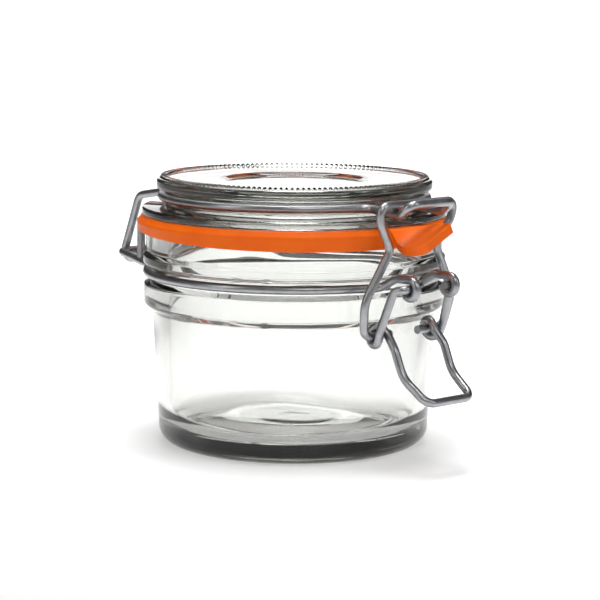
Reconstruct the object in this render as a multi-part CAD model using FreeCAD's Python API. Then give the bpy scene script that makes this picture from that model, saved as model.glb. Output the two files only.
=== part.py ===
"""Small bail clamp jar: glass jar, glass lid on a wire hinge, rubber ring and over-centre wire clamp.

Millimetres. +Z is up, the origin is the centre of the base on the jar's axis.
The clamp is at the front (-Y), the hinge at the back (+Y), and the hinge and pivot axes run along X.
"""
import FreeCAD
import Part
import math
import os

V = FreeCAD.Vector
UP = V(0, 0, 1)
ACROSS = V(1, 0, 0)

# --- driving dimensions -----------------------------------------------------------------------
WIRE_D = 2.0                 # every wire of the closure
WIRE_R = WIRE_D / 2
PIVOT_PLAY = 0.06            # radial play of a wire pin in an eye, a coil or a hook

BASE_R = 33.2                # body radius just above the base corner
SHOULDER_R = 34.5            # body radius under the lower bead
BEAD_R = 36.5                # lower bead
UPPER_BEAD_R = 36.7          # bead above the wire groove
FINISH_R = 35.9              # glass finish, up to the rim
GROOVE_R = 34.6              # bottom of the groove that holds the neck wire
MOUTH_R = 30.6
BODY_INNER_R = 31.2
RIM_Z = 53.5
NECK_WIRE_Z = 42.0

GASKET_T = 2.1
GASKET_R = 38.0
GASKET_BORE_R = 29.4
SKIRT_Z = 50.9               # how low the ring's bent edge hangs at its deepest
SKIRT_TURN = -30             # where it is deepest, degrees from the front towards -X
TAB_REACH = 48.8             # distance of the tab's tip from the jar's axis
TAB_ROLL = 26                # how far the tab leans to the -X side at its tip, degrees

LID_FLANGE_R = 36.9
LID_FLANGE_T = 2.1
LID_NECK_R = 31.0
LID_TOP_R = 33.4
LID_PLUG_R = 28.6
LID_TOP_Z = 64.7
LID_RIB_Z = 65.4             # top of the ribbed ring on the lid
LID_RIB_R = 31.7
LID_WIRE_Z = 60.2

HINGE_Y = 43.3
HINGE_Z = 44.0
HINGE_HALF = 19.2            # half of the hinge bar's length
HOOK_X = 16.0                # plane of each hook of the lid wire
UPRIGHT_X = 20.3
UPRIGHT_Y = 33.8
UPRIGHT_TOP_Z = 53.3

EYE_X = 6.4                  # plane of each eye of the neck wire
EYE_Y = -45.9
EYE_Z = 42.7
PIN_CORNER_X = 8.3           # where each end of the lever turns in to its eye
ARM_X = 9.3                  # top of each arm of the lever
ARM_Y = -43.5
ARM_Z = 42.2
COIL_X = 9.0                 # middle of each coil of the lever
COIL_Y = -37.6
COIL_Z = 31.3
COIL_SHIFT = 2.14            # sideways step of the wire over one coil

NOSE_HALF_W = 6.9            # half width of the lid wire's catch
NOSE_Y = -46.0
NOSE_Z = 62.0
CROSSBAR_Y = -41.6
CROSSBAR_Z = 61.65
CROSSBAR_HALF = 12.2
WAIST_HALF = 7.4             # half width of the bail where the tab passes through it
BOW_Y = -52.7
BOW_Z = 17.2
BOW_HALF = 7.3

EYE_R = WIRE_D + PIVOT_PLAY  # centre line radius of an eye, a coil or a hook around a wire


# --- helpers ----------------------------------------------------------------------------------
def rounded(corners):
    """Straight runs joined by tangent arcs. corners: (point, bend radius), the two ends with radius 0."""
    edges = []
    at = corners[0][0]
    for (before, _), (corner, radius), (after, _) in zip(corners, corners[1:], corners[2:]):
        back = (before - corner).normalize()
        on = (after - corner).normalize()
        half = back.getAngle(on) / 2
        cut = radius / math.tan(half)
        start = corner + back * cut
        end = corner + on * cut
        middle = corner + (back + on).normalize() * (radius / math.sin(half) - radius)
        if (start - at).Length > 1e-6:
            edges.append(Part.LineSegment(at, start).toShape())
        edges.append(Part.Arc(start, middle, end).toShape())
        at = end
    edges.append(Part.LineSegment(at, corners[-1][0]).toShape())
    return edges


def arc(centre, radius, normal, zero, first, last):
    """Edge on a circle; angles in degrees from the direction zero, turning about normal."""
    side = normal.cross(zero)

    def at(angle):
        a = math.radians(angle)
        return centre + (zero * math.cos(a) + side * math.sin(a)) * radius
    return Part.Arc(at(first), at((first + last) / 2), at(last)).toShape()


def wire_solid(edges):
    """Round wire along joined edges: a cylinder for each run and a piece of torus for each bend."""
    pieces = []
    for edge in edges:
        start = edge.valueAt(edge.FirstParameter)
        heading = edge.tangentAt(edge.FirstParameter)
        disc = Part.Face(Part.Wire(Part.Circle(start, heading, WIRE_R).toShape()))
        curve = edge.Curve
        if isinstance(curve, Part.Circle):
            middle = edge.valueAt((edge.FirstParameter + edge.LastParameter) / 2)
            span = edge.Length / curve.Radius
            turn = (start - curve.Center).cross(middle - curve.Center)
            if span > math.pi:
                turn = (start - curve.Center).cross(heading)
            pieces.append(disc.revolve(curve.Center, turn.normalize(), math.degrees(span)))
        else:
            pieces.append(disc.extrude(edge.valueAt(edge.LastParameter) - start))
    return joined(pieces)


def joined(solids):
    whole = solids[0].multiFuse(solids[1:]).removeSplitter()
    return whole.Solids[0] if len(whole.Solids) == 1 else whole


def turned(outline):
    """Solid of revolution about Z from closed edges in the XZ plane."""
    return Part.Face(Part.Wire(outline)).revolve(V(0, 0, 0), UP, 360)


def profile(corners):
    """Closed outline in the XZ plane: (radius, height, corner radius)."""
    points = [(V(r, 0, z), fillet) for r, z, fillet in corners]
    edges = []
    count = len(points)
    trims = []
    for i, (corner, fillet) in enumerate(points):
        before = points[i - 1][0]
        after = points[(i + 1) % count][0]
        if fillet == 0:
            trims.append((corner, None, corner))
            continue
        back = (before - corner).normalize()
        on = (after - corner).normalize()
        half = back.getAngle(on) / 2
        cut = fillet / math.tan(half)
        middle = corner + (back + on).normalize() * (fillet / math.sin(half) - fillet)
        trims.append((corner + back * cut, middle, corner + on * cut))
    for i, (start, middle, end) in enumerate(trims):
        if middle is not None:
            edges.append(Part.Arc(start, middle, end).toShape())
        following = trims[(i + 1) % count][0]
        if (following - end).Length > 1e-6:
            edges.append(Part.LineSegment(end, following).toShape())
    return edges


# --- glass ------------------------------------------------------------------------------------
def jar_body():
    """Pressed jar with a domed base: the glass is about as thick there as in the wall."""
    outline = profile([
        (0, 4.3, 0),
        (14.0, 4.1, 25.0),
        (25.0, 0.6, 3.0),
        (26.6, 0, 0.6),
        (29.0, 0, 1.0),
        (BASE_R - 0.35, 1.3, 4.4),
        (BASE_R + 0.15, 12.0, 6.0),
        (SHOULDER_R, 32.8, 0.8),
        (BEAD_R, 34.4, 1.2),
        (BEAD_R, 39.4, 1.0),
        (GROOVE_R, 40.5, 0.6),
        (GROOVE_R, 43.5, 0.6),
        (UPPER_BEAD_R, 44.2, 0.7),
        (UPPER_BEAD_R, 46.2, 0.7),
        (FINISH_R, 47.2, 0.6),
        (FINISH_R, RIM_Z, 1.0),
        (MOUTH_R, RIM_Z, 0.8),
        (MOUTH_R, 38.0, 6.0),
        (BODY_INNER_R, 30.5, 6.0),
        (BODY_INNER_R - 0.6, 4.0, 5.5),
        (24.6, 4.5, 6.0),
        (14.0, 7.5, 20.0),
        (0, 7.7, 0),
    ])
    return turned(outline)


def glass_lid():
    flange_top = RIM_Z + 0.1 + GASKET_T + LID_FLANGE_T
    flange_low = flange_top - LID_FLANGE_T
    outline = profile([
        (0, 60.4, 0),
        (20.5, 60.4, 5.0),
        (24.6, flange_low - 3.0, 1.2),
        (LID_PLUG_R, flange_low - 3.0, 1.2),
        (LID_PLUG_R + 0.5, flange_low, 0.4),
        (LID_FLANGE_R, flange_low, 0.7),
        (LID_FLANGE_R, flange_top, 0.7),
        (LID_NECK_R, flange_top + 0.4, 1.0),
        (LID_NECK_R, 61.6, 0.8),
        (LID_TOP_R, 62.2, 0.7),
        (LID_TOP_R, LID_TOP_Z - 0.2, 0.8),
        (LID_RIB_R + 0.9, LID_TOP_Z, 0.2),
        (LID_RIB_R + 0.5, LID_RIB_Z, 0.25),
        (LID_RIB_R - 0.5, LID_RIB_Z, 0.25),
        (LID_RIB_R - 0.9, LID_TOP_Z, 0.2),
        (18.0, LID_TOP_Z - 0.4, 1.0),
        (16.8, LID_TOP_Z - 1.2, 1.0),
        (0, LID_TOP_Z - 1.2, 0),
    ])
    return turned(outline)


# --- rubber ring ------------------------------------------------------------------------------
def tab_section(y, half_width, z, roll):
    """Upright rectangle across the tab at y, rolled about the front-to-back axis; roll in degrees."""
    a = math.radians(roll)
    along = V(math.cos(a), 0, math.sin(a)) * half_width
    through = V(-math.sin(a), 0, math.cos(a)) * (GASKET_T / 2)
    centre = V(0, y, z)
    return Part.makePolygon([centre - along - through, centre + along - through, centre + along + through,
                             centre - along + through, centre - along - through])


def gasket():
    """Flat ring with its outer edge bent down over the rim, most at the front, and a drooping pull tab.

    The tab droops sideways: its -X edge hangs below the other.
    """
    low = RIM_Z + 0.05
    middle = low + GASKET_T / 2
    skirt_in = FINISH_R + 0.35
    ring = turned(profile([
        (GASKET_BORE_R, low, 0),
        (skirt_in, low, 0.3),
        (skirt_in, SKIRT_Z, 0.3),
        (GASKET_R - 0.2, SKIRT_Z, 0.4),
        (GASKET_R, low + 0.8, 1.0),
        (GASKET_R - 0.9, low + GASKET_T, 0.6),
        (GASKET_BORE_R, low + GASKET_T, 0),
    ]))
    lean = math.atan((low - SKIRT_Z) / (2 * GASKET_R))
    trim = Part.makeBox(4 * GASKET_R, 4 * GASKET_R, 10, V(-2 * GASKET_R, -2 * GASKET_R, -10))
    trim.rotate(V(0, 0, 0), ACROSS, math.degrees(lean))
    trim.rotate(V(0, 0, 0), UP, SKIRT_TURN)
    trim.translate(V(0, 0, (low + SKIRT_Z) / 2))
    ring = ring.cut(trim)
    tab = Part.makeLoft([
        tab_section(-GASKET_R + 0.8, 5.4, middle, 0),
        tab_section(-GASKET_R - 0.2, 5.4, middle - 0.05, 2),
        tab_section(-GASKET_R - 2.6, 5.6, middle - 1.0, TAB_ROLL * 0.62),
        tab_section(-GASKET_R - 5.6, 6.0, middle - 1.2, TAB_ROLL * 0.9),
        tab_section(-TAB_REACH + 1.6, 5.7, middle - 0.7, TAB_ROLL),
        tab_section(-TAB_REACH, 4.3, middle - 0.4, TAB_ROLL),
    ], True, False)
    return joined([ring, tab])


# --- wires ------------------------------------------------------------------------------------
def ring_point(radius, angle, z):
    """Point on a wire ring; angle in degrees from the front (-Y), towards +X."""
    a = math.radians(angle)
    return V(radius * math.sin(a), -radius * math.cos(a), z)


def leave_ring(radius, angle, x, z):
    """Corner where the tangent of a ring at angle reaches the plane at x."""
    start = ring_point(radius, angle, z)
    a = math.radians(angle)
    heading = V(math.cos(a), math.sin(a), 0)
    return start + heading * ((x - start.x) / heading.x)


def wire_ring_half(radius, z, first, last):
    return arc(V(0, 0, z), radius, UP, V(0, -1, 0), first, last)


def neck_wire():
    """One wire: an eye, round the neck groove, the hinge bar at the back and round to the other eye."""
    ring_r = GROOVE_R + WIRE_R + 0.1
    front_angle = 25.0
    rear_angle = 138.0
    eye = V(EYE_X, EYE_Y, EYE_Z)
    eye_top = eye + UP * EYE_R
    to_eye = rounded([
        (ring_point(ring_r, front_angle, NECK_WIRE_Z), 0),
        (leave_ring(ring_r, front_angle, EYE_X, NECK_WIRE_Z), 3.0),
        (V(EYE_X, EYE_Y + 4.6, eye_top.z), 3.0),
        (eye_top, 0),
    ])
    curl = arc(eye, EYE_R, ACROSS, UP, 0, 262)
    to_bar = rounded([
        (ring_point(ring_r, rear_angle, NECK_WIRE_Z), 0),
        (leave_ring(ring_r, rear_angle, 21.4, NECK_WIRE_Z), 3.0),
        (V(HINGE_HALF, HINGE_Y, HINGE_Z), 2.0),
        (V(0, HINGE_Y, HINGE_Z), 0),
    ])
    foot = V(UPRIGHT_X, UPRIGHT_Y, NECK_WIRE_Z)
    upright = Part.makeCylinder(WIRE_R, UPRIGHT_TOP_Z - NECK_WIRE_Z, foot, UP)
    round_neck = wire_ring_half(ring_r, NECK_WIRE_Z, front_angle, rear_angle)
    half = joined([wire_solid([round_neck] + to_eye + [curl] + to_bar), upright])
    return joined([half, half.mirror(V(0, 0, 0), ACROSS)])


def lid_wire():
    """One wire: a hook, round the lid's groove, the catch at the front and round to the other hook."""
    ring_r = LID_NECK_R + WIRE_R + 0.1
    front_angle = 26.0
    rear_angle = 147.0
    hook = V(HOOK_X, HINGE_Y, HINGE_Z)
    knee = V(HOOK_X, HINGE_Y - 3.6, LID_WIRE_Z - 2.0)
    to_knee = knee - hook
    touch = math.atan2(to_knee.z, to_knee.y) - math.acos(EYE_R / to_knee.Length)
    touch_point = hook + V(0, math.cos(touch), math.sin(touch)) * EYE_R
    catch = rounded([
        (V(0, NOSE_Y, NOSE_Z), 0),
        (V(NOSE_HALF_W, NOSE_Y, NOSE_Z), 2.0),
        (V(NOSE_HALF_W, NOSE_Y + 3.1, LID_WIRE_Z - 0.75), 2.0),
        (leave_ring(ring_r, front_angle, NOSE_HALF_W, LID_WIRE_Z), 3.0),
        (ring_point(ring_r, front_angle, LID_WIRE_Z), 0),
    ])
    leg = rounded([
        (ring_point(ring_r, rear_angle, LID_WIRE_Z), 0),
        (leave_ring(ring_r, rear_angle, HOOK_X, LID_WIRE_Z), 1.5),
        (knee, 3.0),
        (touch_point, 0),
    ])
    curl = arc(hook, EYE_R, -ACROSS, V(0, 1, 0), -math.degrees(touch), 190)
    round_lid = wire_ring_half(ring_r, LID_WIRE_Z, front_angle, rear_angle)
    half = wire_solid([round_lid] + catch + leg + [curl])
    return joined([half, half.mirror(V(0, 0, 0), ACROSS)])


def lever():
    """One wire: a pin in each eye, an arm to a coil on each side, and a bow for the finger between them."""
    arm_top = V(0, ARM_Y - COIL_Y, ARM_Z - COIL_Z)
    low_arm = V(0, -42.9 - COIL_Y, 28.4 - COIL_Z)
    first = math.atan2(arm_top.z, -arm_top.y) - math.acos(EYE_R / arm_top.Length)
    last = math.atan2(low_arm.z, -low_arm.y) + math.acos(EYE_R / low_arm.Length) - 2 * math.pi
    turn = first - last
    pitch = COIL_SHIFT * 2 * math.pi / turn
    slope = pitch / (2 * math.pi * EYE_R)

    def on_coil(angle, share):
        """Point and heading on the -X coil; angle from the front, upwards positive."""
        out = V(0, -math.cos(angle), math.sin(angle))
        ahead = V(0, -math.sin(angle), -math.cos(angle))
        point = V(-COIL_X - COIL_SHIFT * (0.5 - share), COIL_Y, COIL_Z) + out * EYE_R
        return point, (ahead + ACROSS * slope).normalize(), out, ahead

    begin, heading_in, out, ahead = on_coil(first, 0)
    finish, heading_out, _, _ = on_coil(last, 1)
    upper = rounded([
        (V(-EYE_X + 1.7, EYE_Y, EYE_Z), 0),
        (V(-PIN_CORNER_X, EYE_Y, EYE_Z), 1.3),
        (V(-ARM_X, ARM_Y, ARM_Z), 1.6),
        (begin - heading_in * 2.0, 3.0),
        (begin, 0),
    ])
    lower = rounded([
        (finish, 0),
        (finish + heading_out * 1.5, 3.0),
        (V(-8.1, -42.9, 28.4), 5.0),
        (V(-8.0, -45.6, 22.2), 8.0),
        (V(-BOW_HALF, BOW_Y, BOW_Z), 2.6),
        (V(0, BOW_Y, BOW_Z), 0),
    ])
    disc = Part.Wire(Part.Circle(V(EYE_R, 0, 0), V(0, 1, slope), WIRE_R).toShape())
    coil = Part.Wire(Part.makeHelix(pitch, COIL_SHIFT, EYE_R).Edges).makePipeShell([disc], True, True)
    centre = V(-COIL_X - COIL_SHIFT / 2, COIL_Y, COIL_Z)
    place = FreeCAD.Matrix(out.x, ahead.x, 1, centre.x, out.y, ahead.y, 0, centre.y,
                           out.z, ahead.z, 0, centre.z, 0, 0, 0, 1)
    coil = coil.transformGeometry(place)
    if coil.ShapeType != "Solid":
        coil = Part.Solid(coil)
    half = joined([wire_solid(upper), coil, wire_solid(lower)])
    return joined([half, half.mirror(V(0, 0, 0), ACROSS)])


def bail():
    """One wire: the crossbar that lies in the catch, two legs, and an end in each coil of the lever."""
    half = wire_solid(rounded([
        (V(0, CROSSBAR_Y, CROSSBAR_Z), 0),
        (V(CROSSBAR_HALF, CROSSBAR_Y, CROSSBAR_Z), 2.0),
        (V(11.5, -41.2, 57.6), 4.0),
        (V(WAIST_HALF, -40.4, 51.3), 2.4),
        (V(14.4, -39.2, 39.6), 7.0),
        (V(13.0, COIL_Y, COIL_Z), 2.6),
        (V(COIL_X - 4.5, COIL_Y, COIL_Z), 0),
    ]))
    return joined([half, half.mirror(V(0, 0, 0), ACROSS)])


os.makedirs("parts", exist_ok=True)
pieces = {
    "jar_body": jar_body(),
    "glass_lid": glass_lid(),
    "gasket": gasket(),
    "lid_wire": lid_wire(),
    "neck_wire": neck_wire(),
    "bail": bail(),
    "lever": lever(),
}
for name, shape in pieces.items():
    box = shape.BoundBox
    print(name, shape.ShapeType, len(shape.Solids), shape.isValid(), round(shape.Volume, 1),
          [round(v, 2) for v in (box.XMin, box.YMin, box.ZMin, box.XMax, box.YMax, box.ZMax)])
    shape.exportStep("parts/" + name + ".step")
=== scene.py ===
"""Looks for the small bail clamp jar: pressed glass, zinc-coated wire and an orange rubber ring."""
import bmesh
import bpy
import math
from mathutils import Matrix, Vector


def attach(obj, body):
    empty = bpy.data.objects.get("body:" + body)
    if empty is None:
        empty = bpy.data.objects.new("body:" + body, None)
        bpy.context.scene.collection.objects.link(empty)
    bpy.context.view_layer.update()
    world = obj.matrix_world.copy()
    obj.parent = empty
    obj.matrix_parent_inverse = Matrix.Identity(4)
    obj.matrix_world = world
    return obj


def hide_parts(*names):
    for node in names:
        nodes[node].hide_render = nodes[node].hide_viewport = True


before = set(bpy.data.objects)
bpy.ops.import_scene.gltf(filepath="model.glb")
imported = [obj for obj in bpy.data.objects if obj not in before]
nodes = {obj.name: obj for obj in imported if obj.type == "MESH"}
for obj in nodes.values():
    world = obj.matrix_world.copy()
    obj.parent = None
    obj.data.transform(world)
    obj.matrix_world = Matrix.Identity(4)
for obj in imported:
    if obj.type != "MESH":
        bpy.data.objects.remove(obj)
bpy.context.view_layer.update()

MM = 0.001
VIEW = math.radians(-43.0)              # which way round the camera stands
CAMERA_TILT = math.radians(8.3)
CAMERA_LEAN = math.radians(0.4)
CAMERA_DISTANCE = 0.585
AIM_HEIGHT = 0.0346
AIM_TO_SIDE = 0.0015


# --- mesh helpers -----------------------------------------------------------------------------
def rounded(corners, steps=7):
    """Closed outline (radius, height) in mm with each corner rounded: corners are (r, z, fillet)."""
    line = []
    count = len(corners)
    for i, (r, z, fillet) in enumerate(corners):
        here = Vector((r, z))
        back = (Vector(corners[i - 1][:2]) - here).normalized()
        on = (Vector(corners[(i + 1) % count][:2]) - here).normalized()
        if fillet == 0:
            line.append(here)
            continue
        half = back.angle(on) / 2
        cut = fillet / math.tan(half)
        centre = here + (back + on).normalized() * (fillet / math.sin(half))
        start = here + back * cut - centre
        end = here + on * cut - centre
        turn = start.angle_signed(end)
        for k in range(steps + 1):
            a = -turn * k / steps
            c, s = math.cos(a), math.sin(a)
            line.append(centre + Vector((start.x * c - start.y * s, start.x * s + start.y * c)))
    return line


def divided(line, longest):
    """Extra points on the long runs of an outline, so ripples have something to bend."""
    out = []
    for a, b in zip(line, line[1:] + line[:1]):
        n = max(1, int((b - a).length / longest))
        if abs(a.x) < 1e-6 and abs(b.x) < 1e-6:
            n = 1
        out += [a + (b - a) * (k / n) for k in range(n)]
    return out


def lathe(name, outline, around, bend=None):
    """Closed solid of revolution from an outline; bend(r, z, angle) may move a point a little."""
    verts, rows = [], []
    for p in outline:
        if p.x < 1e-6:
            rows.append([len(verts)] * around)
            verts.append((0, 0, p.y * MM))
            continue
        row = []
        for k in range(around):
            a = 2 * math.pi * k / around
            r, z = (p.x, p.y) if bend is None else bend(p.x, p.y, a)
            row.append(len(verts))
            verts.append((r * math.sin(a) * MM, -r * math.cos(a) * MM, z * MM))
        rows.append(row)
    faces = []
    for low, high in zip(rows, rows[1:] + rows[:1]):
        for k in range(around):
            j = (k + 1) % around
            quad = []
            for v in (low[k], low[j], high[j], high[k]):
                if v not in quad:
                    quad.append(v)
            if len(quad) > 2:
                faces.append(quad)
    return piece(name, verts, faces)


def piece(name, verts, faces):
    mesh = bpy.data.meshes.new(name)
    mesh.from_pydata(verts, [], faces)
    mesh.validate()
    for face in mesh.polygons:
        face.use_smooth = True
    obj = bpy.data.objects.new(name, mesh)
    bpy.context.scene.collection.objects.link(obj)
    bm = bmesh.new()
    bm.from_mesh(mesh)
    bmesh.ops.recalc_face_normals(bm, faces=bm.faces)
    bm.to_mesh(mesh)
    bm.free()
    return obj


# --- materials --------------------------------------------------------------------------------
def new_material(name):
    mat = bpy.data.materials.new(name)
    mat.use_nodes = True
    tree = mat.node_tree
    shader = tree.nodes["Principled BSDF"]
    return mat, tree, shader


def noise(tree, scale, detail=3.0, rough=0.5, stretch=None):
    coords = tree.nodes.new("ShaderNodeTexCoord")
    tex = tree.nodes.new("ShaderNodeTexNoise")
    tex.inputs["Scale"].default_value = scale
    tex.inputs["Detail"].default_value = detail
    tex.inputs["Roughness"].default_value = rough
    source = coords.outputs["Object"]
    if stretch:
        mapping = tree.nodes.new("ShaderNodeMapping")
        mapping.inputs["Scale"].default_value = stretch
        tree.links.new(source, mapping.inputs["Vector"])
        source = mapping.outputs["Vector"]
    tree.links.new(source, tex.inputs["Vector"])
    return tex.outputs["Fac"]


def ramp(tree, fac, low, high, at=(0.3, 0.7)):
    node = tree.nodes.new("ShaderNodeValToRGB")
    node.color_ramp.elements[0].position = at[0]
    node.color_ramp.elements[0].color = low
    node.color_ramp.elements[1].position = at[1]
    node.color_ramp.elements[1].color = high
    tree.links.new(fac, node.inputs["Fac"])
    return node.outputs["Color"]


def spread(tree, fac, low, high):
    node = tree.nodes.new("ShaderNodeMapRange")
    node.inputs["From Min"].default_value = 0.3
    node.inputs["From Max"].default_value = 0.7
    node.inputs["To Min"].default_value = low
    node.inputs["To Max"].default_value = high
    tree.links.new(fac, node.inputs["Value"])
    return node.outputs["Result"]


def bump(tree, shader, fac, strength, distance, under=None):
    node = tree.nodes.new("ShaderNodeBump")
    node.inputs["Strength"].default_value = strength
    node.inputs["Distance"].default_value = distance
    tree.links.new(fac, node.inputs["Height"])
    if under is not None:
        tree.links.new(under, node.inputs["Normal"])
    tree.links.new(node.outputs["Normal"], shader.inputs["Normal"])
    return node.outputs["Normal"]


def glass_material(name, ripple):
    mat, tree, shader = new_material(name)
    shader.inputs["Transmission Weight"].default_value = 1.0
    shader.inputs["IOR"].default_value = 1.5
    tint = ramp(tree, noise(tree, 30.0), (0.965, 0.972, 0.96, 1), (0.985, 0.99, 0.982, 1))
    tree.links.new(tint, shader.inputs["Base Color"])
    tree.links.new(spread(tree, noise(tree, 120.0), 0.0, 0.02), shader.inputs["Roughness"])
    bump(tree, shader, noise(tree, 55.0, 1.5), ripple, 0.0006)
    soak = tree.nodes.new("ShaderNodeVolumeAbsorption")
    soak.inputs["Color"].default_value = (0.60, 0.605, 0.58, 1)
    soak.inputs["Density"].default_value = 70.0
    tree.links.new(soak.outputs["Volume"], tree.nodes["Material Output"].inputs["Volume"])
    return mat


def wire_material():
    """Zinc-coated wire: satin, faintly mottled, with fine drawing marks and a few duller patches."""
    mat, tree, shader = new_material("zinc_wire")
    shader.inputs["Metallic"].default_value = 1.0
    mottled = ramp(tree, noise(tree, 420.0, 4.0, 0.6), (0.34, 0.345, 0.36, 1), (0.43, 0.435, 0.45, 1))
    tree.links.new(mottled, shader.inputs["Base Color"])
    tree.links.new(spread(tree, noise(tree, 650.0, 3.0), 0.28, 0.40), shader.inputs["Roughness"])
    first = bump(tree, shader, noise(tree, 1500.0, 2.0), 0.05, 0.00002)
    bump(tree, shader, noise(tree, 260.0, 2.0), 0.06, 0.00004, first)
    return mat


def rubber_material():
    mat, tree, shader = new_material("orange_rubber")
    shade = ramp(tree, noise(tree, 90.0, 3.0), (0.93, 0.130, 0.0, 1), (1.0, 0.165, 0.001, 1))
    tree.links.new(shade, shader.inputs["Base Color"])
    tree.links.new(spread(tree, noise(tree, 700.0, 3.0), 0.38, 0.52), shader.inputs["Roughness"])
    shader.inputs["Specular IOR Level"].default_value = 0.25
    shader.inputs["Subsurface Weight"].default_value = 0.12
    shader.inputs["Subsurface Radius"].default_value = (0.004, 0.0012, 0.0003)
    shader.inputs["Subsurface Scale"].default_value = 0.4
    bump(tree, shader, noise(tree, 2600.0, 3.0), 0.12, 0.00006)
    return mat


glass = glass_material("jar_glass_clear", 0.10)
lid_glass = glass_material("lid_glass_clear", 0.08)
zinc = wire_material()
rubber = rubber_material()


def finish_node(name, mat):
    """Give a CAD node this material and leave its shape alone."""
    if not nodes[name].material_slots:
        nodes[name].data.materials.append(mat)
    for slot in nodes[name].material_slots:
        slot.material = mat


for wire in ("lid_wire", "neck_wire", "bail", "lever"):
    finish_node(wire, zinc)

# --- jar --------------------------------------------------------------------------------------
jar_outline = [
    (0, 4.3, 0), (14.0, 4.1, 25.0), (25.0, 0.6, 3.0), (26.6, 0, 0.6), (29.0, 0, 1.0), (32.85, 1.3, 4.4),
    (33.35, 12.0, 6.0), (34.5, 32.8, 0.8), (36.5, 34.4, 1.2), (36.5, 39.4, 1.0), (34.6, 40.5, 0.6),
    (34.6, 43.5, 0.6), (36.7, 44.2, 0.7), (36.7, 46.2, 0.7), (35.9, 47.2, 0.6), (35.9, 53.5, 1.0),
    (30.6, 53.5, 0.8), (30.6, 38.0, 6.0), (30.3, 30.5, 6.0), (29.7, 4.0, 5.5), (24.6, 4.5, 6.0),
    (14.0, 7.5, 20.0), (0, 7.7, 0)]


def jar_ripple(r, z, a):
    """Pressed glass: the outside is true, the inside wanders by up to 0.16 mm."""
    if 6.5 < z < 50 and r < 32:
        r += 0.10 * math.sin(2 * a + 0.16 * z) + 0.06 * math.sin(5 * a - 0.3 * z)
    if 4.4 < z < 8.0 and r < 24:
        z += 0.10 * math.sin(3 * a) * (r / 24)
    return r, z


jar = lathe("jar_glass", divided(rounded(jar_outline), 1.6), 256, jar_ripple)
jar.data.materials.append(glass)
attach(jar, "jar")
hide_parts("jar_body")

# --- lid --------------------------------------------------------------------------------------
RIBS = 156
RIB_FOOT = 64.7                         # height in mm of the ring that the ribs are cut in
RIB_DEPTH = 0.95                        # share of the ring's height that is cut away between two ribs
lid_outline = [
    (0, 60.4, 0), (20.5, 60.4, 5.0), (24.6, 52.7, 1.2), (28.6, 52.7, 1.2), (29.1, 55.7, 0.4),
    (36.9, 55.7, 0.7), (36.9, 57.8, 0.7), (31.0, 58.2, 1.0), (31.0, 61.6, 0.8), (33.4, 62.2, 0.7),
    (33.4, 64.5, 0.8), (32.6, 64.7, 0.2), (32.2, 65.4, 0.25), (31.2, 65.4, 0.25), (30.8, 64.7, 0.2),
    (18.0, 64.3, 1.0), (16.8, 63.5, 1.0), (0, 63.5, 0)]


def ribbed(r, z, a):
    """Cut the ring on top of the lid into a row of small beads."""
    if z > RIB_FOOT + 0.02 and 30.4 < r < 33.0:
        z -= (z - RIB_FOOT) * RIB_DEPTH * (0.5 - 0.5 * math.cos(RIBS * a))
    return r, z


lid = lathe("lid_glass", divided(rounded(lid_outline, 5), 2.2), RIBS * 6, ribbed)
lid.data.materials.append(lid_glass)
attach(lid, "lid")
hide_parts("glass_lid")

# --- rubber ring ------------------------------------------------------------------------------
finish_node("gasket", rubber)

# --- stage ------------------------------------------------------------------------------------
FLOOR_RADIUS = 2.2
FLOOR_SIDES = 48
FLOOR_DROP = 0.0001                     # just under the jar's foot
BACKDROP_AWAY = 0.75
BACKDROP_HALF = 0.19
BACKDROP_TOP = 0.36
BACKDROP_FOOT = -0.001


def stage_material(name, colour, glow):
    """Matt and pale, with the same faint glow all over."""
    mat, tree, shader = new_material(name)
    dull = (colour * 0.985, colour * 0.985, colour * 0.98, 1)
    clean = (colour, colour, colour, 1)
    pale = ramp(tree, noise(tree, 6.0), dull, clean)
    tree.links.new(pale, shader.inputs["Base Color"])
    shader.inputs["Roughness"].default_value = 0.9
    shader.inputs["Specular IOR Level"].default_value = 0.1
    shader.inputs["Emission Color"].default_value = (1, 1, 1, 1)
    shader.inputs["Emission Strength"].default_value = glow
    return mat


away = Vector((-math.sin(VIEW), math.cos(VIEW), 0))
side = Vector((math.cos(VIEW), math.sin(VIEW), 0))


def sheet_mesh(name, corners, mat):
    mesh = bpy.data.meshes.new(name)
    mesh.from_pydata([tuple(c) for c in corners], [], [tuple(range(len(corners)))])
    obj = bpy.data.objects.new(name, mesh)
    bpy.context.scene.collection.objects.link(obj)
    mesh.materials.append(mat)
    return obj


floor_rim = []
for k in range(FLOOR_SIDES):
    turn = 2 * math.pi * k / FLOOR_SIDES
    floor_rim.append((FLOOR_RADIUS * math.cos(turn), FLOOR_RADIUS * math.sin(turn), -FLOOR_DROP))
sheet_mesh("floor", floor_rim, stage_material("pale_floor", 0.88, 0.36))

left_edge = away * BACKDROP_AWAY - side * BACKDROP_HALF
right_edge = away * BACKDROP_AWAY + side * BACKDROP_HALF
foot = Vector((0, 0, BACKDROP_FOOT))
top = Vector((0, 0, BACKDROP_TOP))
backdrop_corners = [left_edge + foot, right_edge + foot, right_edge + top, left_edge + top]
sheet_mesh("backdrop", backdrop_corners, stage_material("pale_backdrop", 0.8, 1.0))

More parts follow.
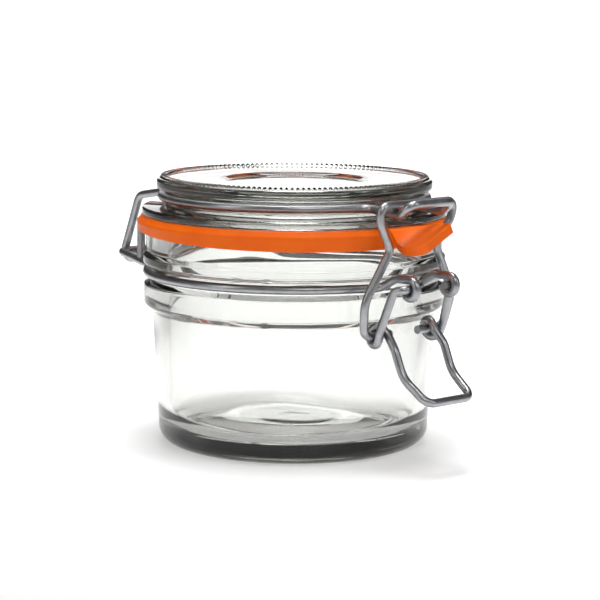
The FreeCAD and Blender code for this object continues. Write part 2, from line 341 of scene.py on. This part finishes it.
# --- light ------------------------------------------------------------------------------------
def area(name, where, at, size, power, beam=180.0):
    """A soft rectangular lamp; one that hangs straight above its target is squared to the camera's view."""
    lamp = bpy.data.lights.new(name, "AREA")
    lamp.spread = math.radians(beam)
    lamp.shape = "RECTANGLE"
    lamp.size, lamp.size_y = size
    lamp.energy = power
    obj = bpy.data.objects.new(name, lamp)
    bpy.context.scene.collection.objects.link(obj)
    obj.location = where
    aim = Vector(at) - Vector(where)
    obj.rotation_euler = aim.to_track_quat("-Z", "Y").to_euler()
    if aim.to_2d().length < 0.001:
        obj.rotation_euler = (0, 0, VIEW)


def spot(to_side, behind, height):
    """A place in the studio, measured along the camera's own left-right and depth."""
    return side * to_side + away * behind + Vector((0, 0, height))


centre = (0, 0, 0.035)
area("overhead", spot(0, 0, 0.45), centre, (0.20, 0.20), 0.23, 70.0)
area("back_top", spot(0, 0.42, 0.45), spot(0, 0.42, 0), (0.24, 0.70), 0.75, 70.0)
area("left_strip", spot(-0.62, -0.40, 0.42), centre, (0.10, 0.6), 1.0)
area("right_strip", spot(0.65, -0.35, 0.46), centre, (0.08, 0.5), 0.9)
area("front_fill", spot(0.2, -0.9, 0.80), centre, (0.45, 0.3), 2.2)

world = bpy.data.worlds.new("studio")
bpy.context.scene.world = world
world.use_nodes = True
world.node_tree.nodes["Background"].inputs["Color"].default_value = (1, 1, 1, 1)
world.node_tree.nodes["Background"].inputs["Strength"].default_value = 0.08

# --- camera -----------------------------------------------------------------------------------
back_dir = -away * math.cos(CAMERA_TILT) + Vector((0, 0, math.sin(CAMERA_TILT)))
up = back_dir.cross(side)
turned_right = side * math.cos(CAMERA_LEAN) + up * math.sin(CAMERA_LEAN)
turned_up = up * math.cos(CAMERA_LEAN) - side * math.sin(CAMERA_LEAN)
target = Vector((0, 0, AIM_HEIGHT)) + side * AIM_TO_SIDE
place = target + back_dir * CAMERA_DISTANCE
camera = bpy.data.cameras.new("camera")
camera.lens = 144.0
camera.sensor_width = 36.0
camera.clip_start = 0.01
cam = bpy.data.objects.new("camera", camera)
bpy.context.scene.collection.objects.link(cam)
cam.matrix_world = Matrix((
    (turned_right.x, turned_up.x, back_dir.x, place.x),
    (turned_right.y, turned_up.y, back_dir.y, place.y),
    (turned_right.z, turned_up.z, back_dir.z, place.z),
    (0, 0, 0, 1)))
bpy.context.scene.camera = cam
bpy.context.scene.view_settings.view_transform = "Standard"
